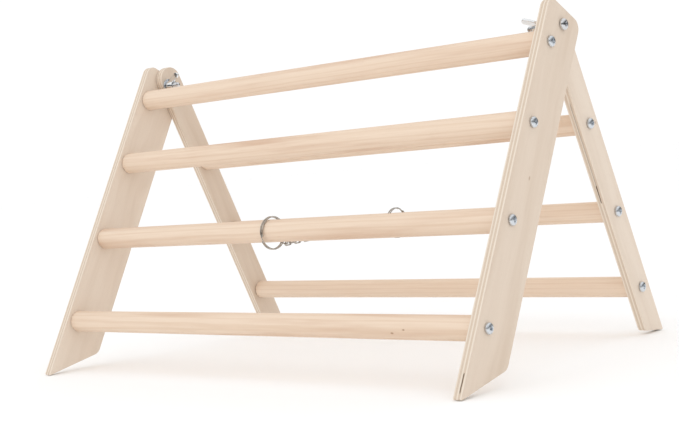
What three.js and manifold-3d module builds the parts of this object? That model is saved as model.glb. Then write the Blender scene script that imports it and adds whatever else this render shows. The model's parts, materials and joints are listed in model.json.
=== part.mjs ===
// A folding A-frame ladder stand: two small ladders of plywood rails and round rungs,
// hinged together near the top by two bolts with wing nuts. A short chain between two split
// rings ties the third front rung to the second back rung and limits how far the legs spread.
//
// Millimetres. X runs along the rungs, Y from front to back, Z up. The origin lies on the
// standing plane, at the middle of the object's footprint.

import * as THREE from 'three';
import { mergeVertices } from 'three/addons/utils/BufferGeometryUtils.js';
import Module from 'manifold-3d';

const wasm = await Module();
wasm.setup();

// ---- Driving dimensions -------------------------------------------------------------------

const WIDTH = 370; // over the outer faces of the front rails
const PLY = 6; // plywood thickness
const GAP = 0.3; // clearance between pieces that touch
const HINGE_PLAY = 0.4; // clearance between a front rail and the back rail beside it
const EASED = 0.8; // radius of a corner that is only eased

const FRONT_LEAN = THREE.MathUtils.degToRad(29.5); // front rails, from the vertical
const BACK_LEAN = THREE.MathUtils.degToRad(23.1); // back rails, from the vertical
const HINGE_HEIGHT = 202;

const FRONT_RAIL_HALF = 17.8; // the hinge bolt sits on the middle of the front rail
const FRONT_RAIL_TOP = 10.5; // rail end above the bolt
const FRONT_TOP_RADIUS = 6.5;
const FRONT_FOOT_CUT = THREE.MathUtils.degToRad(40); // foot cut, from square
const FRONT_FOOT_RADIUS = 7; // on the heel; the standing corner stays crisp

const BACK_RAIL_FRONT = -4.8; // edges of the back rail, measured across from the bolt
const BACK_RAIL_BACK = 15;
const BACK_RAIL_TOP = 13; // rail end above the bolt
const BACK_TOP_RADIUS = 9.8; // almost a half circle
const BACK_FOOT_CUT = THREE.MathUtils.degToRad(30);
const BACK_FOOT_RADIUS = 3;

const FRONT_RUNG_DIAMETER = 14.8;
const BACK_RUNG_DIAMETER = 13.7;
const FRONT_RUNGS = [16.2, 69.9, 131.9, 197.1]; // distances down the rail from the bolt
const FRONT_RUNG_OFFSET = -8.2; // across the rail, towards its front edge
const BACK_RUNGS = [68.2, 130.7, 187];
const BACK_RUNG_OFFSET = 5.1;

const SCREW = { shank: 4, length: 27, head: 6.8, rise: 2.2, recess: 3.6, slot: 0.9, depth: 1.2 };
const BOLT = { shank: 4, length: 25, head: 7.4, rise: 2.6, recess: 3.8, slot: 1, depth: 1.4 };
const HEAD_DOME = [[1, 0.3], [0.86, 0.72], [0.5, 0.97], [0, 1]]; // shares of a head's radius and rise
const SCREW_TIP = 0.5; // radius at the point of a screw
const BOLT_TIP = 2; // radius at the blunt end of a bolt
const TIP_LEAD = 0.2; // length added to the taper behind a tip
const HOLE_CLEARANCE = 0.6; // hole diameter over shank diameter
const PILOT_SPARE = 2; // how far a pilot hole goes on past its screw

const WASHER = { diameter: 11, thickness: 1 };
const NUT = { base: 8.4, top: 6.8, hub: 5.6, flange: 1.2, wing: 1.8, reach: 9.6, height: 10.6, tip: 2.2 };
const NUT_TURN = { left: 0, right: THREE.MathUtils.degToRad(50) }; // where each nut came to rest

const SPLIT_RING = { radius: 10.7, wire: 1.2, pitch: 1.5, turns: 2 };
const JUMP_RING = { radius: 2.7, wire: 0.9, overlap: 1.5 };
const LINK = { radius: 1.1, wire: 0.9, perHalf: 11 };
const HALF_CHAIN = 64.3; // from the axis of a rung to the middle of the chain
const HALVES_APART = 3.4; // between the two halves of the chain where they meet, along X
const FRONT_TIE = { rung: 2, diameter: FRONT_RUNG_DIAMETER, x: -6.4, drop: THREE.MathUtils.degToRad(36) };
const BACK_TIE = { rung: 1, diameter: BACK_RUNG_DIAMETER, x: -1.2, drop: THREE.MathUtils.degToRad(5) };

const ROUND = 24; // sides of a rung
const MEDIUM_ROUND = 18; // sides of a washer or a nut
const SMALL_ROUND = 12; // sides of a screw

// ---- Derived places -----------------------------------------------------------------------

const frontInner = WIDTH / 2 - PLY;
const backOuter = frontInner - HINGE_PLAY;
const backInner = backOuter - PLY;

// How far down a leaning rail from the bolt one of its edges meets the standing plane. The edge
// lies the given distance across from the bolt, on the side that the rail leans towards.
function footReach(lean, across) {
  return (HINGE_HEIGHT + across * Math.sin(lean)) / Math.cos(lean);
}

const frontFoot = footReach(FRONT_LEAN, FRONT_RAIL_HALF);
const backFoot = footReach(BACK_LEAN, BACK_RAIL_BACK);
const frontToe = -frontFoot * Math.sin(FRONT_LEAN) - FRONT_RAIL_HALF * Math.cos(FRONT_LEAN);
const backToe = backFoot * Math.sin(BACK_LEAN) + BACK_RAIL_BACK * Math.cos(BACK_LEAN);
const HINGE_Y = -(frontToe + backToe) / 2;

// ---- Materials ----------------------------------------------------------------------------

const plywood = new THREE.MeshStandardMaterial({ color: 0xdccbb6, roughness: 0.7, metalness: 0 });
const dowelWood = new THREE.MeshStandardMaterial({ color: 0xebd0b4, roughness: 0.6, metalness: 0 });
const zinc = new THREE.MeshStandardMaterial({ color: 0xb9c2c9, roughness: 0.35, metalness: 1 });
const chrome = new THREE.MeshStandardMaterial({ color: 0xd9dcde, roughness: 0.15, metalness: 1 });
const nickel = new THREE.MeshStandardMaterial({ color: 0xaaa49c, roughness: 0.3, metalness: 1 });

// ---- Solid helpers ------------------------------------------------------------------------

// Position-only geometry with shared vertices, no collapsed triangles and faces pointing out.
function tidy(source) {
  const bare = source.clone();
  bare.deleteAttribute('normal');
  bare.deleteAttribute('uv');
  const merged = mergeVertices(bare, 1e-4);
  const position = merged.getAttribute('position');
  const kept = [];
  let volume = 0;
  const a = new THREE.Vector3();
  const b = new THREE.Vector3();
  const c = new THREE.Vector3();
  for (let i = 0; i < merged.index.count; i += 3) {
    const corner = [0, 1, 2].map((k) => merged.index.getX(i + k));
    if (new Set(corner).size < 3) continue;
    kept.push(corner);
    a.fromBufferAttribute(position, corner[0]);
    b.fromBufferAttribute(position, corner[1]);
    c.fromBufferAttribute(position, corner[2]);
    volume += a.dot(b.cross(c));
  }
  const ordered = volume < 0 ? kept.map(([p, q, r]) => [p, r, q]) : kept;
  const result = new THREE.BufferGeometry();
  result.setAttribute('position', position);
  result.setIndex(ordered.flat());
  return result;
}

function toManifold(geometry) {
  const closed = tidy(geometry);
  return new wasm.Manifold(new wasm.Mesh({
    numProp: 3,
    vertProperties: new Float32Array(closed.getAttribute('position').array),
    triVerts: new Uint32Array(closed.index.array),
  }));
}

function fromManifold(solid) {
  const mesh = solid.getMesh();
  const geometry = new THREE.BufferGeometry();
  geometry.setAttribute('position', new THREE.BufferAttribute(mesh.vertProperties, 3));
  geometry.setIndex(new THREE.BufferAttribute(mesh.triVerts, 1));
  return geometry;
}

// Turns an outline drawn in (across, up) into a slab that is thick along X.
const outlineToSide = new THREE.Matrix4().makeBasis(
  new THREE.Vector3(0, 1, 0),
  new THREE.Vector3(0, 0, 1),
  new THREE.Vector3(1, 0, 0),
);

function slab(outline, thickness, curveSegments) {
  const settings = { depth: thickness, bevelEnabled: false, curveSegments };
  const geometry = new THREE.ExtrudeGeometry(outline, settings);
  geometry.translate(0, 0, -thickness / 2);
  geometry.applyMatrix4(outlineToSide);
  return tidy(geometry);
}

// A turned piece with its axis along X; the profile lists (radius, distance along +X).
function turned(profile, sides) {
  const points = profile.map(([radius, along]) => new THREE.Vector2(radius, along));
  const geometry = new THREE.LatheGeometry(points, sides);
  geometry.rotateZ(-Math.PI / 2);
  return tidy(geometry);
}

function piece(name, geometry, material, parent) {
  const mesh = new THREE.Mesh(geometry, material);
  mesh.name = name;
  parent.add(mesh);
  return mesh;
}

// A closed outline through corner points, each rounded to its own radius.
function roundedOutline(corners) {
  const shape = new THREE.Shape();
  const count = corners.length;
  corners.forEach((corner, i) => {
    const here = new THREE.Vector2(corner.x, corner.y);
    const before = corners[(i + count - 1) % count];
    const after = corners[(i + 1) % count];
    const back = new THREE.Vector2(before.x, before.y).sub(here).normalize();
    const forth = new THREE.Vector2(after.x, after.y).sub(here).normalize();
    const half = Math.acos(back.dot(forth)) / 2;
    const run = corner.radius / Math.tan(half);
    const start = here.clone().addScaledVector(back, run);
    const inward = back.clone().add(forth).normalize();
    const centre = here.clone().addScaledVector(inward, corner.radius / Math.sin(half));
    const end = here.clone().addScaledVector(forth, run);
    if (i === 0) shape.moveTo(start.x, start.y);
    else shape.lineTo(start.x, start.y);
    const from = Math.atan2(start.y - centre.y, start.x - centre.x);
    const to = Math.atan2(end.y - centre.y, end.x - centre.x);
    shape.absarc(centre.x, centre.y, corner.radius, from, to, false);
  });
  shape.closePath();
  return shape;
}

function boreOutline(across, down, diameter) {
  const hole = new THREE.Path();
  hole.absarc(across, -down, diameter / 2, 0, 2 * Math.PI, true);
  return hole;
}

// ---- Wooden pieces ------------------------------------------------------------------------

const screwHole = SCREW.shank + HOLE_CLEARANCE;
const boltHole = BOLT.shank + HOLE_CLEARANCE;

function frontRailGeometry() {
  const heel = frontFoot - 2 * FRONT_RAIL_HALF * Math.tan(FRONT_FOOT_CUT);
  const outline = roundedOutline([
    { x: -FRONT_RAIL_HALF, y: -frontFoot, radius: EASED },
    { x: FRONT_RAIL_HALF, y: -heel, radius: FRONT_FOOT_RADIUS },
    { x: FRONT_RAIL_HALF, y: FRONT_RAIL_TOP, radius: FRONT_TOP_RADIUS },
    { x: -FRONT_RAIL_HALF, y: FRONT_RAIL_TOP, radius: FRONT_TOP_RADIUS },
  ]);
  outline.holes.push(boreOutline(0, 0, boltHole));
  for (const down of FRONT_RUNGS) outline.holes.push(boreOutline(FRONT_RUNG_OFFSET, down, screwHole));
  return slab(outline, PLY, 6);
}

function backRailGeometry() {
  const width = BACK_RAIL_BACK - BACK_RAIL_FRONT;
  const toe = backFoot - width * Math.tan(BACK_FOOT_CUT);
  const outline = roundedOutline([
    { x: BACK_RAIL_FRONT, y: -toe, radius: BACK_FOOT_RADIUS },
    { x: BACK_RAIL_BACK, y: -backFoot, radius: EASED },
    { x: BACK_RAIL_BACK, y: BACK_RAIL_TOP, radius: BACK_TOP_RADIUS },
    { x: BACK_RAIL_FRONT, y: BACK_RAIL_TOP, radius: BACK_TOP_RADIUS },
  ]);
  outline.holes.push(boreOutline(0, 0, boltHole));
  for (const down of BACK_RUNGS) outline.holes.push(boreOutline(BACK_RUNG_OFFSET, down, screwHole));
  return slab(outline, PLY, 6);
}

// A rung is a plain dowel with a pilot hole in each end for its screw.
function rungGeometry(diameter, length) {
  const half = length / 2;
  const pilot = half - (SCREW.length - PLY) - PILOT_SPARE;
  const bore = screwHole / 2;
  return turned([
    [0, -pilot],
    [bore, -pilot],
    [bore, -half],
    [diameter / 2, -half],
    [diameter / 2, half],
    [bore, half],
    [bore, pilot],
    [0, pilot],
  ], ROUND);
}

// ---- Fasteners ----------------------------------------------------------------------------

// A pan-head screw that points along -X, with the underside of its head at x = 0.
function screwGeometry(size, tip) {
  const head = size.head / 2;
  const shank = size.shank / 2;
  const body = turned([
    [0, -size.length],
    [tip, -size.length + (shank - tip)],
    [shank, -size.length + 2 * (shank - tip) + TIP_LEAD],
    [shank, 0],
    [head, 0],
    ...HEAD_DOME.map(([outward, upward]) => [head * outward, size.rise * upward]),
  ], SMALL_ROUND);
  let solid = toManifold(body);
  for (const turn of [0, Math.PI / 2]) {
    const arm = new THREE.BoxGeometry(2 * size.depth, size.recess, size.slot);
    arm.rotateX(turn);
    arm.translate(size.rise, 0, 0);
    solid = solid.subtract(toManifold(arm));
  }
  return fromManifold(solid);
}

function washerGeometry() {
  const outer = WASHER.diameter / 2;
  const inner = boltHole / 2;
  return turned([
    [inner, 0],
    [outer, 0],
    [outer, WASHER.thickness],
    [inner, WASHER.thickness],
    [inner, 0],
  ], MEDIUM_ROUND);
}

// One wing in (outward, up): it leaves the hub low, sweeps up to a round tip and dips back.
function wingOutline() {
  const root = NUT.top / 2 - 0.5;
  const tip = { x: NUT.reach - NUT.tip, y: NUT.height - NUT.tip };
  const belly = { x: NUT.reach - 2, y: 3 };
  const saddle = { x: NUT.top / 2 + 1, y: NUT.hub + 1 };
  const wing = new THREE.Shape();
  wing.moveTo(root, 1);
  wing.lineTo(NUT.base / 2, 1);
  wing.quadraticCurveTo(belly.x, belly.y, NUT.reach, tip.y);
  wing.absarc(tip.x, tip.y, NUT.tip, 0, 0.8 * Math.PI, false);
  wing.quadraticCurveTo(saddle.x, saddle.y, root, NUT.hub - 0.5);
  wing.closePath();
  return wing;
}

// A wing nut that sits on x = 0 and rises along +X, its wings upright.
function wingNutGeometry() {
  const through = 4 * NUT.height;
  let solid = toManifold(turned([
    [0, 0],
    [NUT.base / 2, 0],
    [NUT.base / 2, NUT.flange],
    [NUT.top / 2, NUT.hub],
    [0, NUT.hub],
  ], MEDIUM_ROUND));
  const settings = { depth: NUT.wing, bevelEnabled: false, curveSegments: 5 };
  for (const side of [1, -1]) {
    const blade = new THREE.ExtrudeGeometry(wingOutline(), settings);
    blade.translate(0, 0, -NUT.wing / 2);
    blade.applyMatrix4(new THREE.Matrix4().makeBasis(
      new THREE.Vector3(0, 0, side),
      new THREE.Vector3(1, 0, 0),
      new THREE.Vector3(0, side, 0),
    ));
    solid = solid.add(toManifold(blade));
  }
  const bore = new THREE.CylinderGeometry(boltHole / 2, boltHole / 2, through, MEDIUM_ROUND);
  bore.rotateZ(Math.PI / 2);
  return fromManifold(solid.subtract(toManifold(bore)));
}

// ---- The tie: split rings, jump rings and chain links ----------------------------------------

class SplitRingCurve extends THREE.Curve {
  getPoint(t, target = new THREE.Vector3()) {
    const angle = t * SPLIT_RING.turns * 2 * Math.PI;
    const along = (t - 0.5) * SPLIT_RING.turns * SPLIT_RING.pitch;
    const { radius } = SPLIT_RING;
    return target.set(along, radius * Math.cos(angle), radius * Math.sin(angle));
  }
}

function splitRingGeometry() {
  const section = new THREE.Shape();
  section.absarc(0, 0, SPLIT_RING.wire / 2, 0, 2 * Math.PI, false);
  return tidy(new THREE.ExtrudeGeometry(section, {
    steps: 20 * SPLIT_RING.turns,
    extrudePath: new SplitRingCurve(),
    curveSegments: 3,
  }));
}

// A ring in the plane of X and Y.
function jumpRingGeometry() {
  return tidy(new THREE.TorusGeometry(JUMP_RING.radius, JUMP_RING.wire / 2, 8, 14));
}

// How far apart the wires of two linked pieces of chain lie, centre to centre.
const wireStep = LINK.wire + GAP;

// A long link in the plane of X and Y: a ring pulled apart along Y into two half rings.
function linkGeometry(pitch) {
  const straight = (pitch + wireStep) / 2 - LINK.radius;
  const sides = 12;
  const geometry = new THREE.TorusGeometry(LINK.radius, LINK.wire / 2, 6, sides);
  geometry.rotateZ(Math.PI / sides);
  const position = geometry.getAttribute('position');
  for (let i = 0; i < position.count; i += 1) {
    position.setY(i, position.getY(i) + Math.sign(position.getY(i)) * straight);
  }
  return tidy(geometry);
}

// The axis of a rung in the side view: s below and q across from the bolt on a leaning ladder.
function rungAxis(s, q, lean) {
  const y = HINGE_Y - s * Math.sin(lean) + q * Math.cos(lean);
  const z = HINGE_HEIGHT - s * Math.cos(lean) - q * Math.sin(lean);
  return new THREE.Vector3(0, y, z);
}

// Turns a piece so that its Y points the given way and its X stays as near to the rungs' as it can.
function aim(mesh, direction) {
  const across = new THREE.Vector3(1, 0, 0).addScaledVector(direction, -direction.x).normalize();
  const third = across.clone().cross(direction);
  mesh.quaternion.setFromRotationMatrix(new THREE.Matrix4().makeBasis(across, direction, third));
}

// One half of the tie: a split ring round its rung, a jump ring and links up to the middle.
// facing is +1 for the half that runs backwards from the front rung, -1 for the other.
function addHalfTie(root, name, tie, rung, middle, facing) {
  const pull = new THREE.Vector3(0, facing * Math.cos(tie.drop), -Math.sin(tie.drop));
  const play = SPLIT_RING.radius - (SPLIT_RING.wire + tie.diameter) / 2 - GAP;
  const ring = piece(`${name}_split_ring`, splitRingGeometry(), nickel, root);
  ring.position.copy(rung).addScaledVector(pull, play);
  ring.position.x = tie.x;
  ring.rotation.x = Math.atan2(pull.z, pull.y) + Math.PI;

  const jump = piece(`${name}_jump_ring`, jumpRingGeometry(), nickel, root);
  const toJump = SPLIT_RING.radius + JUMP_RING.radius - JUMP_RING.overlap;
  jump.position.copy(ring.position).addScaledVector(pull, toJump);
  aim(jump, pull);

  const start = jump.position.clone().addScaledVector(pull, JUMP_RING.radius);
  const finish = middle.clone().setX((FRONT_TIE.x + BACK_TIE.x - facing * HALVES_APART) / 2);
  const run = finish.clone().sub(start);
  const pitch = run.length() / LINK.perHalf;
  run.normalize();
  for (let i = 0; i < LINK.perHalf; i += 1) {
    const geometry = linkGeometry(pitch);
    if (i % 2 === 0) geometry.rotateY(Math.PI / 2);
    const link = piece(`${name}_chain_link_${i + 1}`, geometry, nickel, root);
    link.position.copy(start).addScaledVector(run, (i + 0.5) * pitch - wireStep / 2);
    aim(link, run);
  }
}

// The chain runs in two straight halves from rung to rung, all but taut. The halves lie side by
// side, so that they can pass each other when the ladders close.
function addTie(root) {
  const front = rungAxis(FRONT_RUNGS[FRONT_TIE.rung], FRONT_RUNG_OFFSET, FRONT_LEAN);
  const back = rungAxis(BACK_RUNGS[BACK_TIE.rung], BACK_RUNG_OFFSET, -BACK_LEAN);
  const chord = back.clone().sub(front);
  const sag = Math.sqrt(HALF_CHAIN ** 2 - (chord.length() / 2) ** 2);
  const down = new THREE.Vector3(0, chord.z, -chord.y).normalize();
  const middle = front.clone().addScaledVector(chord, 0.5).addScaledVector(down, sag);
  addHalfTie(root, 'front', FRONT_TIE, front, middle, 1);
  addHalfTie(root, 'back', BACK_TIE, back, middle, -1);
}

// ---- Assembly -----------------------------------------------------------------------------

const sides = [['left', -1], ['right', 1]];

// Places a piece that was made pointing along +X on the given side, mirrored by a half turn.
function face(mesh, side, x, across, down) {
  mesh.position.set(side * x, across, -down);
  if (side < 0) mesh.rotation.z = Math.PI;
}

function addRungs(group, label, { rungs, offset, diameter, halfLength, outerFace }) {
  rungs.forEach((down, i) => {
    const rung = piece(`${label}_rung_${i + 1}`, rungGeometry(diameter, 2 * halfLength), dowelWood, group);
    rung.position.set(0, offset, -down);
    for (const [name, side] of sides) {
      const screw = piece(`${label}_screw_${name}_${i + 1}`, screwGeometry(SCREW, SCREW_TIP), zinc, group);
      face(screw, side, outerFace + GAP, offset, down);
    }
  });
}

function addFrontLadder(root) {
  const group = new THREE.Group();
  group.position.set(0, HINGE_Y, HINGE_HEIGHT);
  group.rotation.x = -FRONT_LEAN;
  root.add(group);
  for (const [name, side] of sides) {
    const rail = piece(`front_rail_${name}`, frontRailGeometry(), plywood, group);
    rail.position.x = side * (WIDTH / 2 - PLY / 2);
  }
  addRungs(group, 'front', {
    rungs: FRONT_RUNGS,
    offset: FRONT_RUNG_OFFSET,
    diameter: FRONT_RUNG_DIAMETER,
    halfLength: frontInner - GAP,
    outerFace: WIDTH / 2,
  });
}

function addBackLadder(root) {
  const group = new THREE.Group();
  group.position.set(0, HINGE_Y, HINGE_HEIGHT);
  group.rotation.x = BACK_LEAN;
  root.add(group);
  for (const [name, side] of sides) {
    const rail = piece(`back_rail_${name}`, backRailGeometry(), plywood, group);
    rail.position.x = side * (backOuter - PLY / 2);
  }
  addRungs(group, 'back', {
    rungs: BACK_RUNGS,
    offset: BACK_RUNG_OFFSET,
    diameter: BACK_RUNG_DIAMETER,
    halfLength: backInner - GAP,
    outerFace: backOuter,
  });
}

function addHinges(root) {
  const group = new THREE.Group();
  group.position.set(0, HINGE_Y, HINGE_HEIGHT);
  root.add(group);
  const washerFace = backInner - GAP;
  const nutFace = washerFace - WASHER.thickness - GAP;
  for (const [name, side] of sides) {
    const bolt = piece(`hinge_bolt_${name}`, screwGeometry(BOLT, BOLT_TIP), chrome, group);
    face(bolt, side, WIDTH / 2 + GAP, 0, 0);
    const washer = piece(`hinge_washer_${name}`, washerGeometry(), zinc, group);
    face(washer, -side, -washerFace, 0, 0);
    const nut = piece(`wing_nut_${name}`, wingNutGeometry(), chrome, group);
    face(nut, -side, -nutFace, 0, 0);
    nut.rotation.x = NUT_TURN[name];
  }
}

const stand = new THREE.Group();
addFrontLadder(stand);
addBackLadder(stand);
addHinges(stand);
addTie(stand);

export default stand;
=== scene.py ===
"""A folding ladder rack in raw plywood and dowel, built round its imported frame."""

import json
import math
from collections import namedtuple

import bmesh
import bpy
from bpy.props import FloatProperty, FloatVectorProperty, IntProperty, PointerProperty
from bpy.types import Operator, Panel, PropertyGroup
from mathutils import Matrix, Vector


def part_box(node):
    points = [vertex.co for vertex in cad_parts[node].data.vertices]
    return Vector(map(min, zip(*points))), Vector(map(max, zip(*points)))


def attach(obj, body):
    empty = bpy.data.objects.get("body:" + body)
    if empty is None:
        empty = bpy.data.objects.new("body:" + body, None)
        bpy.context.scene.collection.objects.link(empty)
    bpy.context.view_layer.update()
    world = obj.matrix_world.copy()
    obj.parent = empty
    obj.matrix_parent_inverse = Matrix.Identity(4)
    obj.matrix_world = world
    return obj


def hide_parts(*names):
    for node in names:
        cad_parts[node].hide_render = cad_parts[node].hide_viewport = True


bl_info = {
    "name": "Folding ladder rack",
    "version": (1, 0, 0),
    "blender": (4, 5, 0),
    "location": "3D View > Sidebar > Ladder Rack",
    "description": "Builds the visible pieces of a folding plywood and dowel rack on its frame",
    "category": "Add Mesh",
}

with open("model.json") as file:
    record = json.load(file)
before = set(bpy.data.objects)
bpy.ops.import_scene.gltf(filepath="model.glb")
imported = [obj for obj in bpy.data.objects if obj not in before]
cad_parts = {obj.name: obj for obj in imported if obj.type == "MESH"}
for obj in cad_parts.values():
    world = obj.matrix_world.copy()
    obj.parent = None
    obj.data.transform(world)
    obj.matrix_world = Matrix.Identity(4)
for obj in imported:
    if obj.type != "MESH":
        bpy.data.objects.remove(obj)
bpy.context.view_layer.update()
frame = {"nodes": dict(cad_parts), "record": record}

MM = 0.001
SIDES = ("left", "right")
FRONT_RUNGS = [f"front_rung_{i}" for i in range(1, 5)]
BACK_RUNGS = [f"back_rung_{i}" for i in range(1, 4)]
X_AXIS = Vector((1, 0, 0))

# Sizes inside a fastener or rung, which its node's box doesn't show.
SCREW_RISE = 2.2 * MM
SCREW_RECESS = 4.0 * MM
SCREW_SLOT = 1.0 * MM
SCREW_RECESS_DEPTH = 1.5 * MM
SCREW_ROOT = 1.35 * MM
SCREW_POINT = 5 * MM
BOLT_RISE = 2.6 * MM
BOLT_RECESS = 4.4 * MM
BOLT_SLOT = 1.05 * MM
BOLT_RECESS_DEPTH = 1.6 * MM
BOLT_ROOT = 1.62 * MM
BOLT_LEAD_IN = 0.8 * MM
SHANK_RADIUS = 2.0 * MM
WASHER_BORE = 2.3 * MM
PILOT_RADIUS = 2.3 * MM
PILOT_DEPTH = 23 * MM


# ---- Places read from the frame -----------------------------------------------------------------


def centre(node):
    """The middle of a CAD node's box."""
    low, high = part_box(node)
    return (low + high) / 2


def half_size(node):
    """Half of a CAD node's size on each axis."""
    low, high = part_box(node)
    return (high - low) / 2


HINGE = centre("hinge_bolt_left").lerp(centre("hinge_bolt_right"), 0.5)


def on_hinge_axis(x):
    return Vector((x, HINGE.y, HINGE.z))


def body_of(node):
    bodies = frame["record"]["behaviour"]["bodies"]
    return next(name for name, nodes in bodies.items() if node in nodes)


def ladder_lean(rungs):
    """How far a ladder leans from upright, about X, from the line of its rungs."""
    run = centre(rungs[0]) - centre(rungs[-1])
    return math.atan2(-run.y, run.z)


def axes(along_x, along_z):
    """A turn whose X and Z axes point the given ways, which are at right angles."""
    x = along_x.normalized()
    z = along_z.normalized()
    return Matrix((x, z.cross(x), z)).transposed()


# ---- Settings -----------------------------------------------------------------------------------


def length(name, description, millimetres):
    """A size that is given in millimetres and kept in metres."""
    return FloatProperty(
        name=name,
        description=description,
        default=millimetres * MM,
        min=0,
        subtype="DISTANCE",
        unit="LENGTH",
    )


def amount(name, description, default, **limits):
    return FloatProperty(name=name, description=description, default=default, **limits)


def colour(name, description, red, green, blue):
    """A colour given as screen values from 0 to 255, kept as linear light."""

    def linear(value):
        part = value / 255
        return part / 12.92 if part <= 0.04045 else ((part + 0.055) / 1.055) ** 2.4

    return FloatVectorProperty(
        name=name,
        description=description,
        default=(linear(red), linear(green), linear(blue), 1),
        size=4,
        min=0,
        max=1,
        subtype="COLOR",
    )


class WoodSettings(PropertyGroup):
    """The plywood sides and the dowel rungs."""

    edge_round: length("Edge rounding", "Radius left by sanding on the plywood's edges", 0.5)
    rung_chamfer: length("Rung chamfer", "Chamfer on the ends of the rungs", 0.5)
    ply_step: length("Veneer step", "Thickness of one veneer in the plywood", 1.2)
    face_pale: colour("Face veneer", "Pale ground of the plywood faces", 229, 214, 198)
    face_dark: colour("Face grain", "Darker figure in the plywood faces", 208, 188, 168)
    edge_pale: colour("Long-grain ply", "Veneers that run along the edge", 234, 222, 207)
    edge_dark: colour("End-grain ply", "Veneers cut across at the edge", 221, 204, 186)
    glue: colour("Glue line", "Thin line between veneers", 190, 166, 141)
    # Painted shade: the core gap colour is the shadow inside a gap, painted onto the edge.
    gap: colour("Core gap", "Shadow in a gap of an inner veneer", 92, 72, 52)
    rung_pale: colour("Early wood", "Pale ground of the rungs", 234, 213, 192)
    rung_dark: colour("Late wood", "Darker rings of the rungs", 216, 187, 160)
    rung_pink: colour("Heart wood", "Pinkish streaks in the rungs", 207, 173, 147)
    knot: colour("Knot", "Small knots and pith flecks", 158, 120, 90)


class MetalSettings(PropertyGroup):
    """The fasteners, rings and chain."""

    head_round: length("Head rim", "Rounding at the rim of screw and bolt heads", 0.35)
    wood_pitch: length("Screw pitch", "Thread pitch of the rung screws", 1.8)
    bolt_pitch: length("Bolt pitch", "Thread pitch of the hinge bolts", 0.7)
    washer_round: length("Washer edge", "Rounding of the washers' edges", 0.2)
    cast_grain: length("Cast detail", "Smallest detail kept on the wing nuts", 0.22)
    ring_wire: length("Split ring wire", "Wire diameter of the split rings", 0.9)
    link_wire: length("Chain wire", "Wire diameter of the chain", 0.9)
    zinc: colour("Zinc plate", "Screws and washers", 216, 221, 226)
    zinc_dull: colour("Dull zinc", "Greyer patches in the zinc", 150, 157, 165)
    bright: colour("Bright plate", "Hinge bolts and wing nuts", 216, 217, 219)
    nickel: colour("Nickel wire", "Rings and chain", 188, 182, 174)
    tarnish: colour("Tarnish", "Dull patches on the nickel", 120, 110, 100)


class StageSettings(PropertyGroup):
    """Floor, light and camera."""

    floor: colour("Floor", "Plain pale floor", 255, 255, 255)
    sky: amount("Room light", "Strength of the even light", 1.02, min=0)
    band_low: amount("Band floor", "Sine of the angle above level where the band fades", 0.12)
    band_high: amount("Band ceiling", "Sine of the angle above level where the band ends", 0.6)
    band_depth: amount(
        "Band depth", "How much darker the band is", 0.93, min=0, max=1, subtype="FACTOR"
    )
    key: amount("Key light", "Power of the large front light", 4, min=0, unit="POWER")
    fill: amount("Fill light", "Power of the side light", 0.5, min=0, unit="POWER")
    lens: amount("Lens", "Focal length", 71.98, min=1, unit="CAMERA")
    eye: FloatVectorProperty(
        name="Camera place",
        description="Camera place from the middle of the footprint",
        default=(0.6228, -0.6924, 0.1403),
        size=3,
        subtype="TRANSLATION",
        unit="LENGTH",
    )
    yaw: amount("Yaw", "Turn to the left of +Y", 0.7280, subtype="ANGLE")
    pitch: amount("Pitch", "Tilt above level", -0.0498, subtype="ANGLE")
    roll: amount("Roll", "Turn about the view", -0.0975, subtype="ANGLE")


class RackSettings(PropertyGroup):
    """Everything a user may change."""

    wood: PointerProperty(type=WoodSettings)
    metal: PointerProperty(type=MetalSettings)
    stage: PointerProperty(type=StageSettings)
    round_steps: IntProperty(
        name="Round steps",
        description="Facets round a rung, a washer or a screw head",
        default=64,
        min=16,
        max=128,
    )


# ---- Shader maths -------------------------------------------------------------------------------


class Value:
    """A number that varies over a surface, written as an ordinary expression."""

    def __init__(self, shader, socket):
        self.shader = shader
        self.socket = socket

    def math(self, operation, *others):
        numbered = dict(enumerate((self, *others)))
        return self.shader.add("ShaderNodeMath", {"operation": operation}, numbered)

    def __add__(self, other):
        return self.math("ADD", other)

    __radd__ = __add__

    def __sub__(self, other):
        return self.math("SUBTRACT", other)

    def __rsub__(self, other):
        return self.shader.add("ShaderNodeMath", {"operation": "SUBTRACT"}, {0: other, 1: self})

    def __mul__(self, other):
        return self.math("MULTIPLY", other)

    __rmul__ = __mul__

    def __truediv__(self, other):
        return self.math("DIVIDE", other)

    def __abs__(self):
        return self.math("ABSOLUTE")

    def __pow__(self, power):
        return self.math("POWER", power)

    def sine(self):
        return self.math("SINE")

    def fraction(self):
        return self.math("FRACT")

    def floor(self):
        return self.math("FLOOR")

    def between(self, low, high):
        """Rises smoothly from 0 at low to 1 at high."""
        settings = {"interpolation_type": "SMOOTHSTEP"}
        inputs = {"Value": self, "From Min": low, "From Max": high}
        return self.shader.add("ShaderNodeMapRange", settings, inputs)

    def bump_at(self, middle, half_width):
        """1 at middle, and 0 from half_width away."""
        return 1 - abs(self - middle).between(0, half_width)


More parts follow.
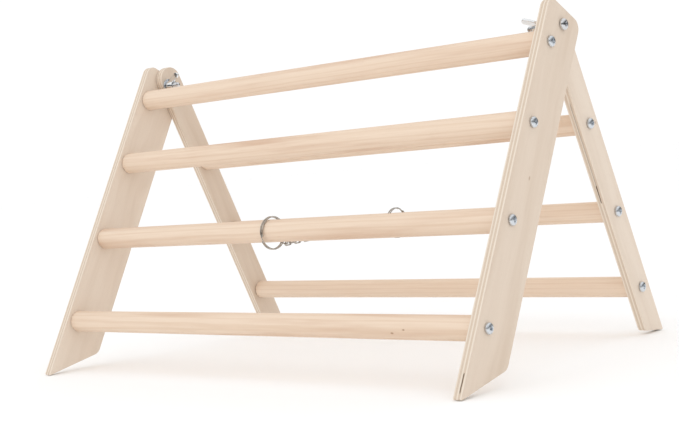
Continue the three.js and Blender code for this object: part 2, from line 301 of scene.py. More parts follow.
class Shader:
    """The nodes of a material or a world, and the shader that they feed."""

    def __init__(self, owner, surface="Principled BSDF"):
        owner.use_nodes = True
        self.owner = owner
        self.tree = owner.node_tree
        self.surface = self.tree.nodes[surface]

    def add(self, kind, settings, inputs, output=0):
        """Adds one node with its settings and its inputs, and gives one of its outputs."""
        node = self.tree.nodes.new(kind)
        for name, setting in settings.items():
            setattr(node, name, setting)
        for key, given in inputs.items():
            self.feed(node.inputs[key], given)
        return Value(self, node.outputs[output])

    def feed(self, socket, given):
        if isinstance(given, Value):
            self.tree.links.new(given.socket, socket)
        else:
            socket.default_value = given

    def place(self, lean=0.0):
        """The surface point from the piece's middle, in metres, on axes that lean back about X."""
        point = self.add("ShaderNodeTexCoord", {}, {}, "Object")
        point = self.add("ShaderNodeMapping", {}, {"Vector": point, "Rotation": (-lean, 0, 0)})
        return [self.add("ShaderNodeSeparateXYZ", {}, {0: point}, axis) for axis in "XYZ"]

    def facing(self):
        """The parts of the surface direction along the piece's own axes."""
        normal = self.add("ShaderNodeTexCoord", {}, {}, "Normal")
        return [self.add("ShaderNodeSeparateXYZ", {}, {0: normal}, axis) for axis in "XYZ"]

    def noise(self, x, y, z, detail=3.0, roughness=0.5):
        """Soft noise from 0 to 1 over a point whose parts are already scaled."""
        point = self.add("ShaderNodeCombineXYZ", {}, {0: x, 1: y, 2: z})
        inputs = {"Vector": point, "Scale": 1.0, "Detail": detail, "Roughness": roughness}
        return self.add("ShaderNodeTexNoise", {}, inputs, "Fac")

    def blend(self, factor, first, second):
        """A colour between two others."""
        inputs = {"Factor": factor, "A": first, "B": second}
        node = self.tree.nodes.new("ShaderNodeMix")
        node.data_type = "RGBA"
        sockets = {s.name: s for s in node.inputs if s.enabled}
        for key, given in inputs.items():
            self.feed(sockets[key], given)
        return Value(self, next(s for s in node.outputs if s.enabled))

    def finish(self, base, roughness, relief=None, depth=0.1 * MM, **constants):
        """Feeds the surface shader. relief is a height from 0 to 1 that stands depth high."""
        self.feed(self.surface.inputs["Base Color"], base)
        self.feed(self.surface.inputs["Roughness"], roughness)
        if relief is not None:
            inputs = {"Height": relief, "Distance": depth, "Strength": 1.0}
            self.feed(self.surface.inputs["Normal"], self.add("ShaderNodeBump", {}, inputs))
        for name, constant in constants.items():
            self.surface.inputs[name.replace("_", " ")].default_value = constant
        return self.owner


# ---- Materials ----------------------------------------------------------------------------------

# The numbers that multiply x, y and z are noise scales, in repeats per metre: low along the grain
# and high across it. The seed steps keep the noise of like pieces apart.

PLY_SEED_STEP = 7.31
FACE_ARCS = 620
ARC_WARP = 22
FLECK_STRETCH = 2.2
MIDDLE_LAYER = 2.5
SEAM_WANDER = 0.22
GAP_HALF_HEIGHT = 0.55 * MM
GAP_RAGGED_SIDE = 0.5 * MM
GAP_RAGGED_END = 6 * MM
FRONT_EDGE = -2 * MM
PLY_RELIEF = 0.09 * MM

RUNG_SEED_STEP = 5.17
RUNG_RINGS = 1900
RING_WARP = 9
PITH_REACH = 14 * MM
PITH_TURN = 2.4
KNOT_SQUASH = 0.55
RUNG_RELIEF = 0.06 * MM

PLATE_RELIEF = 0.004 * MM
FLOOR_SHADE = (0.8, 0.8, 0.8, 1)


def plywood(name, wood, lean, look):
    """Sanded birch plywood: Z runs along the grain of the faces, X through the veneers.

    lean is the angle of Z from upright, about X. The look's tone runs from 0, pale, to 1, dark.
    Each of its gaps is a void in an inner veneer that shows on the front edge, darkened with
    painted
    shade for the shadow inside it: its middle and half length along Z, its place through the
    thickness and how dark its painted shade is, from 0 to 1. Each of its flecks is a small knot on
    the faces: its place across and along the rail, and its size.
    """
    shader = Shader(bpy.data.materials.new(name))
    x, y, z = shader.place(lean)
    turn = look.seed * PLY_SEED_STEP
    sway = shader.noise(x * 20 + turn, y * 20, z * 9, 2)
    broad = shader.noise(y * 60 + sway * 1.6 + turn, z * 4.5, x * 8, 3, 0.55)
    arcs = (y * FACE_ARCS + broad * ARC_WARP + z * 6 + turn).sine() * 0.5 + 0.5
    fibre = shader.noise(y * 1500, z * 55 + turn, x * 1500, 4, 0.65)
    pores = shader.noise(y * 4200 + turn, z * 260, x * 4200, 1)
    pore = pores.between(0.66, 0.78)
    figure = broad.between(0.3, 0.75) * 0.3 + arcs * broad.between(0.4, 0.65) * 0.14 + fibre * 0.32
    face = shader.blend(figure + (look.tone - 0.5), wood.face_pale, wood.face_dark)
    face = shader.blend(pore * 0.2, face, wood.glue)
    for across, along_rail, size in look.flecks:
        reach = FLECK_STRETCH * size
        away = (((y - across) / size) ** 2 + ((z - along_rail) / reach) ** 2) ** 0.5
        face = shader.blend((1 - away.between(0.3, 1)) * 0.55, face, wood.knot)

    wave = shader.noise(z * 14 + turn, y * 14, turn, 2)
    layer = x / wood.ply_step + MIDDLE_LAYER + (wave - 0.5) * SEAM_WANDER
    along = (layer.floor() * 0.5).fraction().between(0.2, 0.3)
    streak = shader.noise(x * 5200, z * 60 + turn, y * 900, 4, 0.6)
    cut = shader.noise(x * 3800 + turn, z * 2600, y * 2600, 3, 0.7)
    grain = shader.blend(streak.between(0.25, 0.8) * 0.5, wood.edge_pale, wood.edge_dark)
    ends = shader.blend(cut.between(0.25, 0.8) * 0.6, wood.edge_dark, wood.glue)
    edge = shader.blend(along, grain, ends)
    line = layer.fraction().bump_at(0.5, 0.5)
    seam = 1 - line.between(0.04, 0.22)
    edge = shader.blend(seam * (0.08 + 0.4 * wave), edge, wood.glue)
    # Painted shade: this mask marks the core gaps, which sink in the bump and take the dark gap
    # colour as painted shade.
    hollow_and_shade = 0
    for middle, half, through, shade in look.gaps:
        ragged = shader.noise(z * 420 + turn, x * 300, turn, 3, 0.6)
        side = x + (ragged - 0.5) * GAP_RAGGED_SIDE
        end = z + (ragged - 0.5) * GAP_RAGGED_END
        strip = side.bump_at(through, GAP_HALF_HEIGHT).between(0.15, 0.6)
        hollow_and_shade = hollow_and_shade + strip * end.bump_at(middle, half).between(0.02, 0.12) * shade
    hollow_and_shade = hollow_and_shade * y.between(0, FRONT_EDGE)
    # Painted shade: the gaps are darkened with the gap colour in place of the shadow inside them.
    edge = shader.blend(hollow_and_shade, edge, wood.gap)

    facing = abs(shader.facing()[0]).between(0.55, 0.9)
    base = shader.blend(facing, edge, face)
    rough = 0.62 + fibre * 0.16 + (1 - facing) * 0.08
    relief = fibre * 0.5 - pore * 0.35 + (1 - facing) * (cut * 0.5 - seam * 0.5 - hollow_and_shade * 4)
    return shader.finish(base, rough, relief, PLY_RELIEF, Specular_IOR_Level=0.35)


def dowel(name, wood, radius, seed, heart, knots):
    """A raw turned rung: X runs along it. heart is how much pinkish wood it shows, from 0 to 1.

    Each of knots is a place along X, the angle round X where it shows, and its size.
    """
    shader = Shader(bpy.data.materials.new(name))
    x, y, z = shader.place()
    turn = seed * RUNG_SEED_STEP
    drift = shader.noise(x * 5 + turn, y * 30, z * 30, 2)
    pith_turn = seed * PITH_TURN
    pith_y = PITH_REACH * math.cos(pith_turn)
    pith_z = PITH_REACH * math.sin(pith_turn)
    from_pith = ((y - pith_y) ** 2 + (z - pith_z) ** 2) ** 0.5
    rings = (from_pith * RUNG_RINGS + drift * RING_WARP + x * 5 + turn).sine() * 0.5 + 0.5
    fibre = shader.noise(x * 26 + turn, y * 950, z * 950, 4, 0.62)
    fleck = shader.noise(x * 150, y * 2600 + turn, z * 2600, 2).between(0.7, 0.82)
    broad = shader.noise(x * 7, y * 120 + turn, z * 120, 3, 0.55)
    late = rings.between(0.7, 1.0) * drift * 0.55 + fibre.between(0.3, 0.8) * 0.3
    base = shader.blend(late, wood.rung_pale, wood.rung_dark)
    base = shader.blend(broad.between(0.66 - 0.3 * heart, 0.8) * 0.8, base, wood.rung_pink)
    base = shader.blend(fleck * 0.3, base, wood.knot)
    for along, turn_at, size in knots:
        dy = y - radius * math.cos(turn_at)
        dz = z - radius * math.sin(turn_at)
        away = (((x - along) * KNOT_SQUASH) ** 2 + dy**2 + dz**2) ** 0.5
        base = shader.blend((1 - away.between(size * 0.35, size)) * 0.75, base, wood.knot)
    rough = 0.58 + fibre * 0.18
    relief = fibre * 0.6 - fleck * 0.4 + rings * 0.1
    return shader.finish(base, rough, relief, RUNG_RELIEF, Specular_IOR_Level=0.4)


def plated(name, bright, dull, roughness, wear=0.5, scratch=1.0):
    """Plated steel with faint cloudy patches and fine scratches.

    wear is how strongly the dull patches show, and scratch how deep the scratches are.
    """
    shader = Shader(bpy.data.materials.new(name))
    x, y, z = shader.place()
    cloud = shader.noise(x * 420, y * 420, z * 420, 3, 0.6)
    hair = shader.noise(x * 900, y * 9000, z * 9000, 2, 0.7)
    fine = shader.noise(x * 5200, y * 5200, z * 5200, 2)
    patch = cloud.between(0.45, 0.8) * wear
    base = shader.blend(patch + fine * 0.08, bright, dull)
    rough = roughness + patch * 0.18 + hair * 0.08 * scratch
    relief = hair * 0.5 + fine * 0.5
    return shader.finish(base, rough, relief, PLATE_RELIEF * scratch, Metallic=1.0)


def floor_paint(stage):
    """A matt pale surface with a hardly visible unevenness."""
    shader = Shader(bpy.data.materials.new("pale_floor"))
    x, y, _ = shader.place()
    uneven = shader.noise(x * 3, y * 3, 0, 3)
    base = shader.blend(uneven * 0.01, stage.floor, FLOOR_SHADE)
    return shader.finish(base, 0.85 + uneven * 0.05, Specular_IOR_Level=0.2)


# ---- Mesh helpers -------------------------------------------------------------------------------

SHARP_ANGLE = math.radians(35)


def make_piece(name, mesh, material, place, node, sharp=SHARP_ANGLE):
    """Stands mesh, drawn in its own axes, at place and lets it ride for its CAD node.

    The turn goes into the mesh, so that a piece's own box is also its box in the room. Edges
    sharper than sharp stay crisp.
    """
    mesh.transform(place.to_3x3().to_4x4())
    mesh.materials.append(material)
    for face in mesh.polygons:
        face.use_smooth = True
    mesh.set_sharp_from_angle(angle=sharp)
    piece = bpy.data.objects.new(name, mesh)
    bpy.context.scene.collection.objects.link(piece)
    piece.matrix_world = at(place.translation)
    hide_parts(node)
    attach(piece, body_of(node))
    return piece


def even_shading(piece):
    """Keeps large flat faces flat beside their rounded edges."""
    weighted = piece.modifiers.new("even_shading", "WEIGHTED_NORMAL")
    weighted.keep_sharp = True


def at(point, turn=None):
    place = Matrix.Identity(3) if turn is None else turn
    return Matrix.Translation(point) @ place.to_4x4()


def mesh_from(name, build):
    mesh = bpy.data.meshes.new(name)
    shape = bmesh.new()
    build(shape)
    bmesh.ops.recalc_face_normals(shape, faces=shape.faces)
    shape.to_mesh(mesh)
    shape.free()
    return mesh


def bridge(shape, rows):
    """Joins equal closed rows of points with quads, each row to the next."""
    count = len(rows[0])
    for here, there in zip(rows, rows[1:]):
        for i in range(count):
            j = (i + 1) % count
            shape.faces.new((here[i], here[j], there[j], there[i]))


def turn_profile(shape, profile, steps):
    """Turns (radius, along) points about X. A radius of 0 closes the end in a point."""
    rows = []
    for radius, along in profile:
        if radius == 0:
            rows.append([shape.verts.new((along, 0, 0))])
            continue
        circle = [
            (along, radius * math.cos(a), radius * math.sin(a))
            for a in (2 * math.pi * i / steps for i in range(steps))
        ]
        rows.append([shape.verts.new(corner) for corner in circle])
    for here, there in zip(rows, rows[1:]):
        if len(here) == len(there):
            bridge(shape, [here, there])
        else:
            point, circle = (here[0], there) if len(here) == 1 else (there[0], here)
            for i in range(steps):
                shape.faces.new((point, circle[i], circle[(i + 1) % steps]))


# How wide a wire's domed end still is, and how far out it stands there, as shares of the radius.
DOME_STEPS = ((0.92, 0.35), (0.6, 0.8))


def sweep(shape, points, radius, sides, closed):
    """A round wire along points, with domed ends unless it closes on itself."""
    count = len(points)
    tangents = []
    for i, _ in enumerate(points):
        ahead = points[(i + 1) % count] if closed or i < count - 1 else points[i]
        behind = points[i - 1] if closed or i > 0 else points[i]
        tangents.append((ahead - behind).normalized())
    across = tangents[0].orthogonal().normalized()
    angles = [2 * math.pi * k / sides for k in range(sides)]
    rows = []
    for point, tangent in zip(points, tangents):
        across = (across - tangent * across.dot(tangent)).normalized()
        upward = tangent.cross(across)
        spokes = [across * math.cos(a) + upward * math.sin(a) for a in angles]
        rows.append([point + radius * spoke for spoke in spokes])
    if closed:
        # The frame may come back turned, so the last join starts at the nearest corner.
        first = rows[0][0]
        shift = min(range(sides), key=lambda k: (rows[-1][k] - first).length)
        made = [[shape.verts.new(p) for p in row] for row in rows]
        bridge(shape, made)
        bridge(shape, [made[-1][shift:] + made[-1][:shift], made[0]])
        return

    def dome(middle, row, reach):
        return [
            [middle + (p - middle) * width + reach * height for p in row]
            for width, height in DOME_STEPS
        ]

    start = dome(points[0], rows[0], -radius * tangents[0])
    end = dome(points[-1], rows[-1], radius * tangents[-1])
    made = [[shape.verts.new(p) for p in row] for row in start[::-1] + rows + end]
    bridge(shape, made)
    shape.faces.new(reversed(made[0]))
    shape.faces.new(made[-1])


# ---- Wooden pieces ------------------------------------------------------------------------------

WELD = 0.001 * MM
FLAT_ANGLE = math.radians(1)
RIM_ANGLE = math.radians(40)
EASE_SHARE = 0.35
EASE_DROP = 0.3


def rail_mesh(node, place, edge_round):
    """The rail's CAD shape in its own axes, with its facets joined and its edges eased."""
    source = frame["nodes"][node].data
    inward = place.inverted()

    def build(shape):
        shape.from_mesh(source)
        shape.transform(inward)
        bmesh.ops.remove_doubles(shape, verts=shape.verts, dist=WELD)
        bmesh.ops.dissolve_limit(
            shape, angle_limit=FLAT_ANGLE, verts=shape.verts, edges=shape.edges
        )
        bmesh.ops.bevel(
            shape,
            geom=[e for e in shape.edges if e.calc_face_angle(0) > RIM_ANGLE],
            offset=edge_round,
            offset_type="OFFSET",
            segments=3,
            profile=0.5,
            affect="EDGES",
        )

    return mesh_from(f"eased_{node}", build)


def rung_mesh(node, chamfer, steps):
    """A turned rung with a pilot hole in each end, as long as its CAD node.

    The chamfer starts with a short, flatter ease, whose length is a share of the chamfer.
    """
    half = half_size(node).x
    radius = half_size(node).z
    pilot_end = half - PILOT_DEPTH
    ease = chamfer * EASE_SHARE
    right = [
        (radius, half - chamfer - ease),
        (radius - ease * EASE_DROP, half - chamfer),
        (radius - chamfer, half),
        (PILOT_RADIUS, half),
        (PILOT_RADIUS, pilot_end),
        (0, pilot_end),
    ]
    left = [(r, -along) for r, along in reversed(right)]
    return mesh_from(f"turned_{node}", lambda shape: turn_profile(shape, left + right, steps))


# ---- Fasteners ----------------------------------------------------------------------------------

THREAD_START = 0.02 * MM
THREAD_ROWS_PER_TURN = 6
THREAD_SIDES = 20
CREST_STEEPNESS = 2.3
BLUNT_TIP = 0.12

RIM_HEIGHT = 0.32
DOME_ROWS = 8
DOME_FULLNESS = 0.62

# The recess narrows from its mouth to its floor, in shares of its width and of its slot.
CUTTER_RISE = 1.5 * MM
MOUTH_WIDTH = 1.2
MOUTH_SLOT = 0.62
FLOOR_WIDTH = 0.42
FLOOR_SLOT = 0.34
ARM_ROOT = 1.35

RADIANS_PER_METRE = 170


def thread(shape, root, pitch, tip, taper):
    """A screw thread along -X from under the head to tip, closed at both ends.

    root is the radius of the valley. Over the last taper of it the thread narrows to its tip.
    """
    start = THREAD_START
    row_count = int((start - tip) / pitch * THREAD_ROWS_PER_TURN)
    rows = []
    for k in range(row_count + 1):
        along = start + (tip - start) * k / row_count
        narrow = min(1, (along - tip) / taper)
        row = []
        for i in range(THREAD_SIDES):
            angle = 2 * math.pi * i / THREAD_SIDES
            phase = ((start - along) / pitch + i / THREAD_SIDES) % 1
            ridge = max(0.0, 1 - abs(phase - 0.5) * CREST_STEEPNESS)
            crest = root + (SHANK_RADIUS - root) * ridge
            reach = crest * (BLUNT_TIP + (1 - BLUNT_TIP) * narrow)
            row.append(shape.verts.new((along, reach * math.cos(angle), reach * math.sin(angle))))
        rows.append(row)
    bridge(shape, rows)
    shape.faces.new(reversed(rows[0]))
    shape.faces.new(rows[-1])


def cross_recess(shape, face, width, depth, slot):
    """The four-armed tapered pit of a cross-head screw, as a closed cutter about X.

    width is from the middle to an arm's end, and slot is an arm's own width.
    """
    mouth = (face + CUTTER_RISE, width * MOUTH_WIDTH, slot * MOUTH_SLOT)
    floor = (face - depth, width * FLOOR_WIDTH, slot * FLOOR_SLOT)
    rows = []
    for along, reach, half in (mouth, floor):
        row = []
        for quarter in range(4):
            turn = quarter * math.pi / 2
            c, s = math.cos(turn), math.sin(turn)
            inner = half * ARM_ROOT
            for u, v in ((inner, -inner), (reach, -half), (reach, half)):
                row.append(shape.verts.new((along, u * c - v * s, u * s + v * c)))
        rows.append(row)
    bridge(shape, rows)
    shape.faces.new(reversed(rows[0]))
    shape.faces.new(rows[-1])


def head_mesh(name, radius, rise, rim, recess, steps):
    """A pan head on x = 0 with its cross recess, cut with an exact boolean.

    recess is the width over its arms, its depth and the width of an arm.
    """
    width, depth, slot = recess
    half_rim = rim / 2
    profile = [(0, 0), (radius - half_rim, 0), (radius, half_rim), (radius, rise * RIM_HEIGHT)]
    for k in range(1, DOME_ROWS):
        swing = math.pi / 2 * k / DOME_ROWS
        height = RIM_HEIGHT + (1 - RIM_HEIGHT) * math.sin(swing)
        profile.append((radius * math.cos(swing) ** DOME_FULLNESS, rise * height))
    profile.append((0, rise))
    dome = mesh_from(name, lambda shape: turn_profile(shape, profile, steps))
    pit = mesh_from("recess", lambda shape: cross_recess(shape, rise, width / 2, depth, slot))
    body = bpy.data.objects.new(name, dome)
    cutter = bpy.data.objects.new("recess", pit)
    for part in (body, cutter):
        bpy.context.scene.collection.objects.link(part)
    cut = body.modifiers.new("recess", "BOOLEAN")
    cut.operation = "DIFFERENCE"
    cut.object = cutter
    cut.solver = "EXACT"
    evaluated = body.evaluated_get(bpy.context.evaluated_depsgraph_get())
    mesh = bpy.data.meshes.new_from_object(evaluated)
    for part in (body, cutter):
        bpy.data.objects.remove(part)
    return mesh


def screw_mesh(head, root, pitch, tip, taper):
    """A head and its threaded shank as one mesh, pointing along -X."""

    def build(shape):
        shape.from_mesh(head)
        thread(shape, root, pitch, tip, taper)

    return mesh_from("screw", build)


def outward(node):
    """+1 for a piece on the right side, -1 for one on the left."""
    return math.copysign(1, centre(node).x)


def fastener_place(node, rise):
    """Where a fastener's head meets the wood, with X pointing out of it.

    Its turn follows from its place, so that each looks driven home on its own.
    """
    side = outward(node)
    middle = centre(node)
    face = middle.x + side * (half_size(node).x - rise)
    driven = Matrix.Rotation(RADIANS_PER_METRE * (middle.y + middle.z), 3, "X")
    facing = Matrix.Identity(3) if side > 0 else Matrix.Rotation(math.pi, 3, "Z")
    return at(Vector((face, middle.y, middle.z)), driven @ facing)


def washer_mesh(outer, thickness, edge, steps):
    """A flat ring from x = 0 to its thickness, with chamfered rims."""

    def build(shape):
        profile = [
            (WASHER_BORE, edge),
            (WASHER_BORE + edge, 0),
            (outer - edge, 0),
            (outer, edge),
            (outer, thickness - edge),
            (outer - edge, thickness),
            (WASHER_BORE + edge, thickness),
            (WASHER_BORE, thickness - edge),
            (WASHER_BORE, edge),
        ]
        turn_profile(shape, profile, steps)
        bmesh.ops.remove_doubles(shape, verts=shape.verts, dist=WELD)

    return mesh_from("washer", build)


def cast_mesh(node, place, grain):
    """The CAD shape melted into a soft-edged casting."""
    source = frame["nodes"][node].data.copy()
    source.transform(place.inverted())
    blank = bpy.data.objects.new("blank", source)
    bpy.context.scene.collection.objects.link(blank)
    melt = blank.modifiers.new("melt", "REMESH")
    melt.mode = "VOXEL"
    melt.voxel_size = grain
    soften = blank.modifiers.new("soften", "SMOOTH")
    soften.factor = 0.5
    soften.iterations = 4
    evaluated = blank.evaluated_get(bpy.context.evaluated_depsgraph_get())
    mesh = bpy.data.meshes.new_from_object(evaluated)
    bpy.data.objects.remove(blank)
    return mesh


# ---- Rings and chain ----------------------------------------------------------------------------

RING_STEPS = 144
RING_SIDES = 14
RING_TURNS = 1.94
RING_START = math.radians(64)
RING_INSET = 0.6 * MM
WIRES_APART = 1.9
JOG_START = 0.42
JOG_SPAN = 0.16
JUMP_STEPS = 40
JUMP_SIDES = 12
LINK_END_STEPS = 10
LINK_SIDES = 10
LINK_PLAY = 0.3 * MM


def wire_mesh(name, points, wire, sides, closed):
    """wire is the wire's diameter."""
    return mesh_from(name, lambda shape: sweep(shape, points, wire / 2, sides, closed))


def split_ring_points(radius, wire):
    """Two turns of wire side by side, which cross over in a short jog by the wire's ends.

    The turns lie WIRES_APART wire diameters apart. The jog's start and span are shares of the
    wire's length.
    """
    points = []
    for i in range(RING_STEPS + 1):
        share = i / RING_STEPS
        angle = RING_START + 2 * math.pi * RING_TURNS * share
        jog = min(1, max(0, (share - JOG_START) / JOG_SPAN))
        shift = (jog * jog * (3 - 2 * jog) - 0.5) * WIRES_APART * wire
        points.append(Vector((shift, radius * math.cos(angle), radius * math.sin(angle))))
    return points


def jump_ring_points(radius):
    """A circle in the plane of X and Y."""
    angles = [2 * math.pi * (i + 0.5) / JUMP_STEPS for i in range(JUMP_STEPS)]
    return [Vector((radius * math.cos(a), radius * math.sin(a), 0)) for a in angles]


def link_points(half_run, radius):
    """A long link in the plane of X and Y, with round ends."""
    points = []
    for end in (1, -1):
        for i in range(LINK_END_STEPS + 1):
            angle = math.pi * i / LINK_END_STEPS
            along = half_run - radius + radius * math.sin(angle)
            points.append(Vector((radius * math.cos(angle), along, 0)) * end)
    return points


# ---- Operators ----------------------------------------------------------------------------------

# What plywood() and dowel() say of each rail's gaps and flecks and of each rung's knots.
RailLook = namedtuple("RailLook", "seed tone gaps flecks", defaults=((), ()))
# Each gap gives its middle, half length, place through the thickness and how dark its painted
# shade is.
FOOT_GAP = (-232 * MM, 6.5 * MM, 1.1 * MM, 0.9)
LONG_GAP = (-80 * MM, 36 * MM, 0.3 * MM, 0.4)
DEEP_GAP = (-113 * MM, 7 * MM, 0.2 * MM, 0.9)
FRONT_FLECK = (0.1 * MM, -102 * MM, 0.9 * MM)
BACK_FLECK = (12.2 * MM, -71 * MM, 0.8 * MM)
RAIL_LOOKS = {
    "front_rail_right": RailLook(1, 0.62, (FOOT_GAP,), (FRONT_FLECK,)),
    "front_rail_left": RailLook(2, 0.35),
    "back_rail_right": RailLook(3, 0.3, (LONG_GAP, DEEP_GAP), (BACK_FLECK,)),
    "back_rail_left": RailLook(4, 0.8),
}
RUNG_HEARTS = (0.85, 0.45, 0.85, 0.7, 0.5, 0.3, 0.1)
RUNG_KNOTS = {"front_rung_4": ((122 * MM, 3.5, 0.9 * MM), (131 * MM, 3.2, 0.7 * MM))}


class RACK_OT_rails(Operator):
    """Plywood sides of both ladders"""

    bl_idname = "rack.rails"
    bl_label = "Plywood rails"

    def execute(self, context):
        wood = context.scene.rack_settings.wood
        for node, look in RAIL_LOOKS.items():
            lean = ladder_lean(FRONT_RUNGS if node.startswith("front") else BACK_RUNGS)
            place = at(on_hinge_axis(centre(node).x), Matrix.Rotation(lean, 3, "X"))
            mesh = rail_mesh(node, place, wood.edge_round)
            material = plywood(f"plywood_{node}", wood, lean, look)
            piece = make_piece(f"plywood_{node}", mesh, material, place, node)
            even_shading(piece)
        return {"FINISHED"}


class RACK_OT_rungs(Operator):
    """Turned rungs of both ladders"""

    bl_idname = "rack.rungs"
    bl_label = "Dowel rungs"

    def execute(self, context):
        rack = context.scene.rack_settings
        hearts = zip(FRONT_RUNGS + BACK_RUNGS, RUNG_HEARTS)
        for seed, (node, heart) in enumerate(hearts, start=1):
            mesh = rung_mesh(node, rack.wood.rung_chamfer, rack.round_steps)
            radius = half_size(node).z
            knots = RUNG_KNOTS.get(node, ())
            material = dowel(f"dowel_{node}", rack.wood, radius, seed, heart, knots)
            make_piece(f"dowel_{node}", mesh, material, at(centre(node)), node)
        return {"FINISHED"}


class RACK_OT_screws(Operator):
    """Cross-head screws that hold the rungs"""

    bl_idname = "rack.screws"
    bl_label = "Rung screws"

    def execute(self, context):
        rack = context.scene.rack_settings
        metal = rack.metal
        material = plated("bright_zinc", metal.zinc, metal.zinc_dull, roughness=0.24)
        head = head_mesh(
            "pan_head",
            half_size("front_screw_right_1").z,
            SCREW_RISE,
            metal.head_round,
            (SCREW_RECESS, SCREW_RECESS_DEPTH, SCREW_SLOT),
            rack.round_steps,
        )
        for ladder, rungs in (("front", FRONT_RUNGS), ("back", BACK_RUNGS)):
            for side in SIDES:
                for i in range(1, len(rungs) + 1):
                    node = f"{ladder}_screw_{side}_{i}"
                    tip = SCREW_RISE - 2 * half_size(node).x
                    mesh = screw_mesh(head, SCREW_ROOT, metal.wood_pitch, tip, SCREW_POINT)
                    place = fastener_place(node, SCREW_RISE)
                    make_piece(f"zinc_{node}", mesh, material, place, node)
        return {"FINISHED"}


class RACK_OT_hinges(Operator):
    """Hinge bolts, washers and wing nuts"""

    bl_idname = "rack.hinges"
    bl_label = "Hinges"

    def execute(self, context):
        rack = context.scene.rack_settings
        metal = rack.metal
        bright = plated(
            "bright_plate", metal.bright, metal.zinc_dull, roughness=0.1, wear=0.35, scratch=0.5
        )
        zinc = plated("washer_zinc", metal.zinc, metal.zinc_dull, roughness=0.2)
        head = head_mesh(
            "bolt_head",
            half_size("hinge_bolt_right").z,
            BOLT_RISE,
            metal.head_round,
            (BOLT_RECESS, BOLT_RECESS_DEPTH, BOLT_SLOT),
            rack.round_steps,
        )
        for side in SIDES:
            node = f"hinge_bolt_{side}"
            tip = BOLT_RISE - 2 * half_size(node).x
            mesh = screw_mesh(head, BOLT_ROOT, metal.bolt_pitch, tip, BOLT_LEAD_IN)
            make_piece(f"bright_{node}", mesh, bright, fastener_place(node, BOLT_RISE), node)

            node = f"hinge_washer_{side}"
            low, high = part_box(node)
            outer = half_size(node).z
            disc = washer_mesh(outer, high.x - low.x, metal.washer_round, rack.round_steps)
            make_piece(f"zinc_{node}", disc, zinc, at(on_hinge_axis(low.x)), node)

            node = f"wing_nut_{side}"
            place = at(on_hinge_axis(centre(node).x))
            casting = cast_mesh(node, place, metal.cast_grain)
            make_piece(f"cast_{node}", casting, bright, place, node, sharp=math.pi)
        return {"FINISHED"}


class RACK_OT_tie(Operator):
    """Split rings, jump rings and chain links"""

    bl_idname = "rack.tie"
    bl_label = "Rings and chain"

    def execute(self, context):
        metal = context.scene.rack_settings.metal
        nickel = plated("nickel_wire", metal.nickel, metal.tarnish, roughness=0.17, wear=0.8)
        for end in ("front", "back"):
            ring_node = f"{end}_split_ring"
            jump_node = f"{end}_jump_ring"
            middle = centre(ring_node)
            jump = centre(jump_node)
            pull = Vector((0, jump.y - middle.y, jump.z - middle.z)).normalized()
            # The split ring's own Y points away from the chain, and the jump ring's towards it.
            ring_turn = axes(X_AXIS, X_AXIS.cross(-pull))
            ring = split_ring_points(half_size(ring_node).z - RING_INSET, metal.ring_wire)
            mesh = wire_mesh(ring_node, ring, metal.ring_wire, RING_SIDES, closed=False)
            make_piece(f"nickel_{ring_node}", mesh, nickel, at(middle, ring_turn), ring_node)

            jump_turn = axes(X_AXIS, X_AXIS.cross(pull))
            circle = jump_ring_points(half_size(jump_node).x - metal.link_wire / 2)
            mesh = wire_mesh(jump_node, circle, metal.link_wire, JUMP_SIDES, closed=True)
            make_piece(f"nickel_{jump_node}", mesh, nickel, at(jump, jump_turn), jump_node)
            self.add_links(end, metal, nickel)
        return {"FINISHED"}

    def add_links(self, end, metal, nickel):
        nodes = [name for name in frame["nodes"] if name.startswith(f"{end}_chain_link_")]
        nodes.sort(key=lambda name: int(name.rsplit("_", 1)[1]))
        span = centre(nodes[-1]) - centre(nodes[0])
        run = span.normalized()
        half_run = (span.length / (len(nodes) - 1) + metal.link_wire + LINK_PLAY) / 2
        radius = max(half_size(node).x for node in nodes[:2]) - metal.link_wire / 2
        link = link_points(half_run, radius)
        across = X_AXIS - run * run.x
        flat = axes(across, across.cross(run))
        upright = flat @ Matrix.Rotation(math.pi / 2, 3, "Y")
        for i, node in enumerate(nodes):
            turn = flat if i % 2 else upright
            mesh = wire_mesh(node, link, metal.link_wire, LINK_SIDES, closed=True)
            make_piece(f"nickel_{node}", mesh, nickel, at(centre(node), turn), node)


# Metres, apart from the sensor's width in millimetres.
FLOOR_HALF_WIDTH = 6
FLOOR_SQUARES = 12
FLOOR_DROP = 0.2 * MM
SENSOR_WIDTH = 36
NEAR_CLIP = 10 * MM
LAMP_TARGET = Vector((0, 0, 0.1))
KEY_WIDTH = 1.6
KEY_PLACE = Vector((-0.2, -1.7, 1.5))
FILL_WIDTH = 1.2
FILL_PLACE = Vector((1.9, -0.3, 1.0))


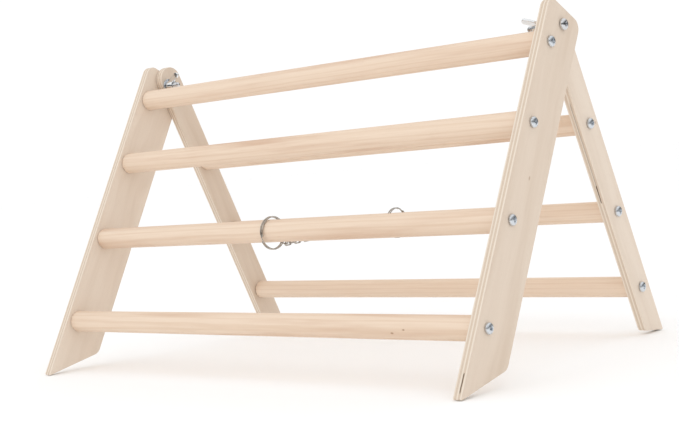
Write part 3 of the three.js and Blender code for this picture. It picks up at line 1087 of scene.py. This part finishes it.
class RACK_OT_stage(Operator):
    """Floor, lights and camera"""

    bl_idname = "rack.stage"
    bl_label = "Stage"

    def execute(self, context):
        stage = context.scene.rack_settings.stage
        self.add_floor(context.scene, stage)
        self.add_lights(context.scene, stage)
        self.add_camera(context.scene, stage)
        return {"FINISHED"}

    def add_floor(self, scene, stage):
        def build(shape):
            bmesh.ops.create_grid(
                shape,
                x_segments=FLOOR_SQUARES,
                y_segments=FLOOR_SQUARES,
                size=FLOOR_HALF_WIDTH,
            )

        floor = bpy.data.objects.new("floor", mesh_from("floor", build))
        floor.data.materials.append(floor_paint(stage))
        floor.location.z = -FLOOR_DROP
        scene.collection.objects.link(floor)

    def add_lights(self, scene, stage):
        # Reflections see a darker band round the room below the bright ceiling.
        room = Shader(bpy.data.worlds.new("room"), "Background")
        direction = room.add("ShaderNodeTexCoord", {}, {}, "Generated")
        height = room.add("ShaderNodeSeparateXYZ", {}, {0: direction}, "Z")
        reflected = room.add("ShaderNodeLightPath", {}, {}, "Is Glossy Ray")
        band = 1 - height.between(stage.band_low, stage.band_high)
        strength = stage.sky * (1 - reflected * band * stage.band_depth)
        room.feed(room.surface.inputs["Color"], (1, 1, 1, 1))
        room.feed(room.surface.inputs["Strength"], strength)
        scene.world = room.owner
        scene.view_settings.view_transform = "Standard"
        lamps = (
            ("key", stage.key, KEY_WIDTH, KEY_PLACE),
            ("fill", stage.fill, FILL_WIDTH, FILL_PLACE),
        )
        for name, power, width, place in lamps:
            light = bpy.data.lights.new(name, "AREA")
            light.energy = power
            light.size = width
            lamp = bpy.data.objects.new(name, light)
            aim = LAMP_TARGET - place
            lamp.matrix_world = at(place, aim.to_track_quat("-Z", "Y").to_matrix())
            scene.collection.objects.link(lamp)

    def add_camera(self, scene, stage):
        forward = Vector((-math.sin(stage.yaw), math.cos(stage.yaw), 0))
        level = Vector((math.cos(stage.yaw), math.sin(stage.yaw), 0))
        ahead = forward * math.cos(stage.pitch)
        ahead.z = math.sin(stage.pitch)
        upward = level.cross(ahead)
        right = level * math.cos(stage.roll) + upward * math.sin(stage.roll)
        lens = bpy.data.cameras.new("camera")
        lens.sensor_width = SENSOR_WIDTH
        lens.lens = stage.lens
        lens.clip_start = NEAR_CLIP
        camera = bpy.data.objects.new("camera", lens)
        camera.matrix_world = at(Vector(stage.eye), axes(right, -ahead))
        scene.collection.objects.link(camera)
        scene.camera = camera


# ---- Panel and registration ---------------------------------------------------------------------

STEPS = (RACK_OT_rails, RACK_OT_rungs, RACK_OT_screws, RACK_OT_hinges, RACK_OT_tie, RACK_OT_stage)


class RACK_PT_panel(Panel):
    """Lists the rack's pieces"""

    bl_label = "Ladder Rack"
    bl_idname = "RACK_PT_panel"
    bl_space_type = "VIEW_3D"
    bl_region_type = "UI"
    bl_category = "Ladder Rack"

    def draw(self, context):
        for step in STEPS:
            self.layout.operator(step.bl_idname)


CLASSES = (WoodSettings, MetalSettings, StageSettings, RackSettings, *STEPS, RACK_PT_panel)


def register():
    for cls in CLASSES:
        bpy.utils.register_class(cls)
    bpy.types.Scene.rack_settings = PointerProperty(type=RackSettings)


def unregister():
    del bpy.types.Scene.rack_settings
    for cls in reversed(CLASSES):
        bpy.utils.unregister_class(cls)


def main():
    register()
    bpy.ops.rack.rails()
    bpy.ops.rack.rungs()
    bpy.ops.rack.screws()
    bpy.ops.rack.hinges()
    bpy.ops.rack.tie()
    bpy.ops.rack.stage()
    bpy.context.view_layer.update()


if __name__ == "__main__":
    main()
